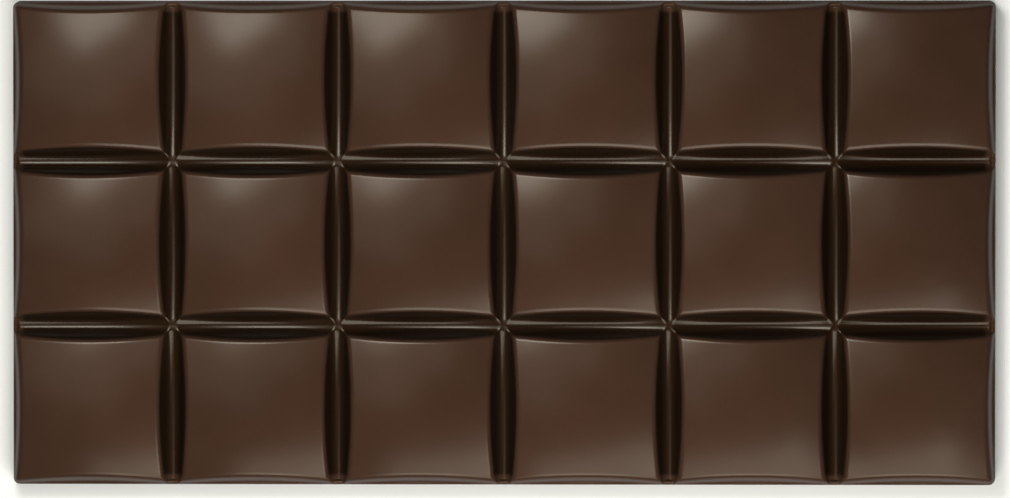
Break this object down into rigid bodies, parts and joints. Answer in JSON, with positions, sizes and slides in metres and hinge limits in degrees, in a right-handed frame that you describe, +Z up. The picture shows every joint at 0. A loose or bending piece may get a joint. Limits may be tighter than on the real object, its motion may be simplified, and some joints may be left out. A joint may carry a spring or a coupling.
{
  "type": "moulded dark chocolate bar",
  "caption": "Moulded bar of dark chocolate: a thin slab with a grid of domed square blocks, parted by breaking grooves.",
  "frame": {"origin": "middle of the flat back, which the bar lies on", "axes": "+X along the bar, +Y across it, +Z up out of the back, towards the domed blocks"},
  "size_m": [0.159, 0.0784, 0.0078],
  "materials": {
    "chocolate": "satin, as chocolate comes out of its mould"
  },
  "bodies": {
    "root": {"bar": "chocolate"}
  },
  "joints": []
}
